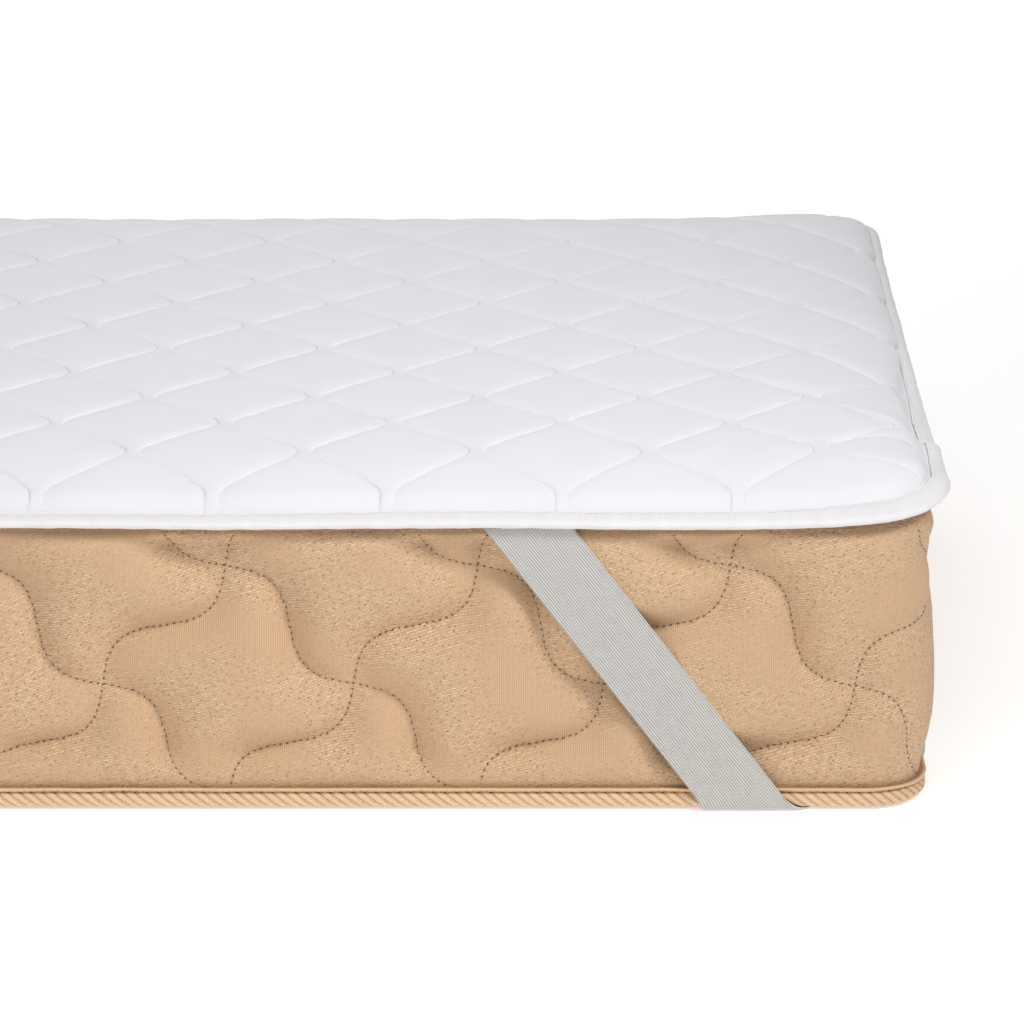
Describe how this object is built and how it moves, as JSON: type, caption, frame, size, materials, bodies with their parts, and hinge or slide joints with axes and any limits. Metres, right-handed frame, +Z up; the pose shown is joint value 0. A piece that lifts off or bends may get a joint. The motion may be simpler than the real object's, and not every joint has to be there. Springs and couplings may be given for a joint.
{
  "type": "quilted mattress topper on mattress",
  "caption": "White quilted mattress topper with bound edge and elastic corner straps, fitted on a plain single mattress; one corner of the topper stands up loosely.",
  "frame": {"origin": "middle of the mattress's underside, on the surface that it rests on", "axes": "+Z up through the topper, +X along the long side, +Y away from the front; the loose corner of the topper is at +X, -Y"},
  "size_m": [1.918, 0.818, 0.2443],
  "materials": {
    "quilted_cotton": "white quilted polycotton, matt",
    "binding_tape": "white woven binding tape, soft sheen",
    "ribbed_elastic": "light grey ribbed woven elastic",
    "tan_ticking": "tan damask ticking, quilted, soft sheen",
    "corded_tape": "tan twisted cord edging tape"
  },
  "bodies": {
    "root": {"topper_pad": "quilted_cotton", "topper_binding": "binding_tape", "strap_front_right": "ribbed_elastic", "strap_front_left": "ribbed_elastic", "strap_back_right": "ribbed_elastic", "strap_back_left": "ribbed_elastic", "mattress": "tan_ticking", "mattress_tape": "corded_tape"}
  },
  "joints": []
}
